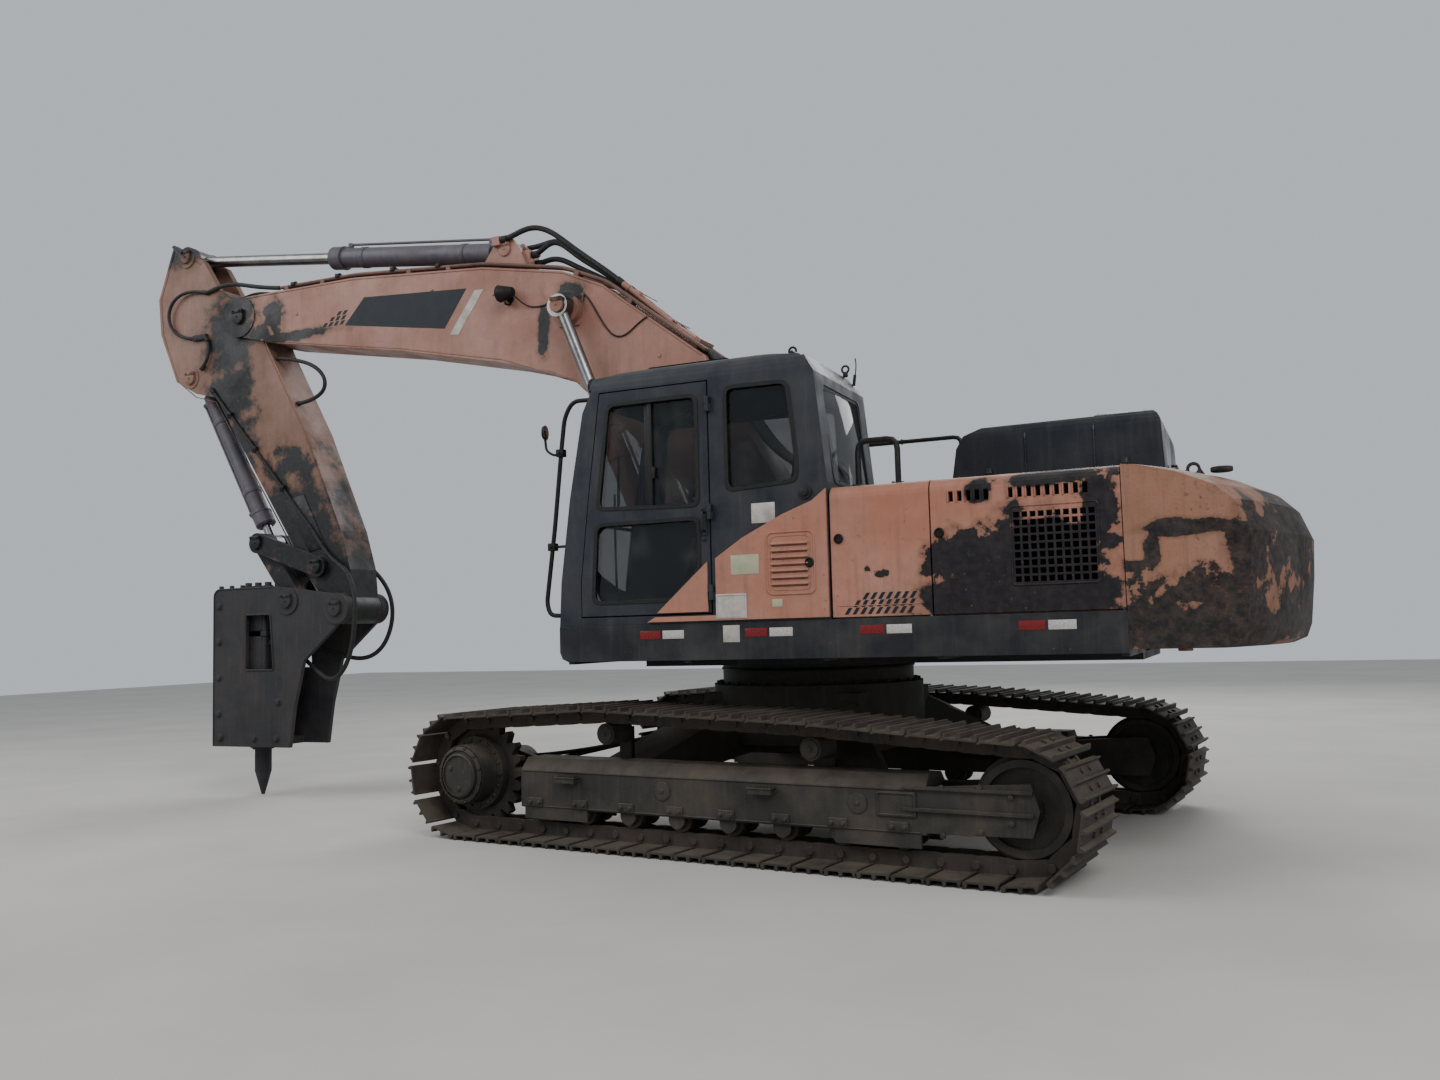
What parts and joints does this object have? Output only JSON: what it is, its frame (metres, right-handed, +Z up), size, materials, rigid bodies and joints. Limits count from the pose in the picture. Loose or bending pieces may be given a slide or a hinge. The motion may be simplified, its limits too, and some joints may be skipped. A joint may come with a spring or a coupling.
{
  "type": "crawler excavator",
  "caption": "Crawler excavator with a slewing house, a bent boom, an arm, hydraulic cylinders and a side mounted hydraulic breaker on long tracks.",
  "frame": {"origin": "on the ground, under the slewing axis", "axes": "+X forward along the boom, +Y to the machine's left, +Z up"},
  "size_m": [9.1528, 3.7222, 4.8571],
  "materials": {
    "track_steel": "worn, dry soil",
    "undercarriage_paint": "matt, dusty",
    "house_black": "semi gloss, dusty",
    "panel_orange": "sun faded enamel",
    "counterweight_paint": "burnt and streaked",
    "boom_orange": "sun faded enamel",
    "front_dark": "oily, dusty",
    "cylinder_grey": "semi gloss",
    "rod_chrome": "dulled chrome",
    "glass": "tinted",
    "seat_fabric": "woven",
    "hose_rubber": "matt",
    "pipe_paint": "faded",
    "engine_steel": "oily"
  },
  "bodies": {
    "undercarriage": {"carbody": "undercarriage_paint", "track_frames": "undercarriage_paint", "track_left": "track_steel", "track_right": "track_steel", "sprockets": "undercarriage_paint", "idlers": "undercarriage_paint", "rollers": "undercarriage_paint", "slew_ring": "undercarriage_paint"},
    "house": {"revolving_frame": "house_black", "cab_shell": "house_black", "cab_glass": "glass", "cab_seat": "seat_fabric", "cab_side_cover": "panel_orange", "rear_shell": "panel_orange", "engine_block": "engine_steel", "counterweight": "counterweight_paint", "fuel_tank": "panel_orange", "hydraulic_tank": "panel_orange", "tool_box": "panel_orange", "handrails": "house_black", "side_mirror": "house_black", "exhaust": "engine_steel"},
    "cab_door": {"cab_door": "house_black", "cab_door_glass": "glass", "door_cover": "panel_orange"},
    "left_front_door": {"left_front_door": "panel_orange"},
    "left_rear_door": {"left_rear_door": "panel_orange"},
    "right_door": {"right_door": "panel_orange"},
    "engine_cover": {"engine_cover": "house_black"},
    "boom": {"boom": "boom_orange", "boom_lamp": "house_black", "boom_pipes": "pipe_paint", "boom_hoses": "hose_rubber"},
    "boom_tubes": {"boom_cylinder_tubes": "cylinder_grey"},
    "boom_rods": {"boom_cylinder_rods": "rod_chrome"},
    "arm_tube": {"arm_cylinder_tube": "cylinder_grey"},
    "arm_rod": {"arm_cylinder_rod": "rod_chrome"},
    "arm": {"arm": "boom_orange", "arm_pipes": "hose_rubber"},
    "tool_tube": {"tool_cylinder_tube": "cylinder_grey"},
    "tool_rod": {"tool_cylinder_rod": "rod_chrome"},
    "link_arms": {"link_arms": "front_dark"},
    "push_link": {"push_link": "front_dark"},
    "tool": {"breaker_case": "front_dark", "breaker_core": "front_dark"}
  },
  "joints": [
    {"name": "slewing", "type": "hinge", "parent": "undercarriage", "child": "house", "pos_m": [0, 0, 1], "axis": [0, 0, 1], "continuous": true},
    {"name": "boom_lift", "type": "hinge", "parent": "house", "child": "boom", "pos_m": [0.1, 0, 1.8], "axis": [0, -1, 0], "range_deg": [-64, 36]},
    {"name": "arm_swing", "type": "hinge", "parent": "boom", "child": "arm", "pos_m": [5.095, 0, 4.079], "axis": [0, 1, 0], "range_deg": [-102, 5]},
    {"name": "tool_tilt", "type": "hinge", "parent": "arm", "child": "tool", "pos_m": [3.986, 0, 1.544], "axis": [0, -1, 0], "range_deg": [-130, 12]},
    {"name": "boom_cylinder_swing", "type": "hinge", "parent": "house", "child": "boom_tubes", "pos_m": [0.86, 0, 1.39], "axis": [0, -1, 0], "range_deg": [-67.58, 38.23]},
    {"name": "boom_cylinder_stroke", "type": "slide", "parent": "boom_tubes", "child": "boom_rods", "axis": [0.3763, 0, 0.9265], "range_m": [-0.8213, 0.4642]},
    {"name": "arm_cylinder_swing", "type": "hinge", "parent": "boom", "child": "arm_tube", "pos_m": [2.42, 0, 4.27], "axis": [0, -1, 0], "range_deg": [-0.89, 8.43]},
    {"name": "arm_cylinder_stroke", "type": "slide", "parent": "arm_tube", "child": "arm_rod", "axis": [0.991, 0, 0.1335], "range_m": [-1.4189, 0.0743]},
    {"name": "tool_cylinder_swing", "type": "hinge", "parent": "arm", "child": "tool_tube", "pos_m": [5.7, 0, 3.62], "axis": [0, -1, 0], "range_deg": [-0.81, 3.84]},
    {"name": "tool_cylinder_stroke", "type": "slide", "parent": "tool_tube", "child": "tool_rod", "axis": [-0.4797, 0, -0.8774], "range_m": [-0.1096, 1.1381]},
    {"name": "link_arm_swing", "type": "hinge", "parent": "arm", "child": "link_arms", "pos_m": [4.23, 0, 1.893], "axis": [0, -1, 0], "range_deg": [-106.36, 10.27]},
    {"name": "push_link_swing", "type": "hinge", "parent": "tool", "child": "push_link", "pos_m": [4.5, 0, 1.62], "axis": [0, -1, 0], "range_deg": [-8.94, 91.94]},
    {"name": "cab_door_swing", "type": "hinge", "parent": "house", "child": "cab_door", "pos_m": [0.14, 1.3783, 1], "axis": [0, 0, 1], "range_deg": [0, 160]},
    {"name": "left_front_door_swing", "type": "hinge", "parent": "house", "child": "left_front_door", "pos_m": [-1.144, 1.356, 1], "axis": [0, 0, 1], "range_deg": [0, 110]},
    {"name": "left_rear_door_swing", "type": "hinge", "parent": "house", "child": "left_rear_door", "pos_m": [-2.126, 1.356, 1], "axis": [0, 0, 1], "range_deg": [0, 110]},
    {"name": "right_door_swing", "type": "hinge", "parent": "house", "child": "right_door", "pos_m": [-2.126, -1.356, 1], "axis": [0, 0, -1], "range_deg": [0, 110]},
    {"name": "engine_cover_lift", "type": "hinge", "parent": "house", "child": "engine_cover", "pos_m": [-1.046, 0, 2.0823], "axis": [0, 1, 0], "range_deg": [0, 60]}
  ],
  "couplings": [
    {"joint": "boom_cylinder_swing", "follows": "boom_lift", "ratio": 1.0481},
    {"joint": "boom_cylinder_stroke", "follows": "boom_lift", "m_per_rad": 0.7308},
    {"joint": "arm_cylinder_swing", "follows": "arm_swing", "ratio": -0.0777},
    {"joint": "arm_cylinder_stroke", "follows": "arm_swing", "m_per_rad": 0.7942},
    {"joint": "tool_cylinder_swing", "follows": "tool_tilt", "ratio": -0.0257},
    {"joint": "tool_cylinder_stroke", "follows": "tool_tilt", "m_per_rad": -0.4994},
    {"joint": "link_arm_swing", "follows": "tool_tilt", "ratio": 0.8143},
    {"joint": "push_link_swing", "follows": "tool_tilt", "ratio": -0.7034}
  ]
}
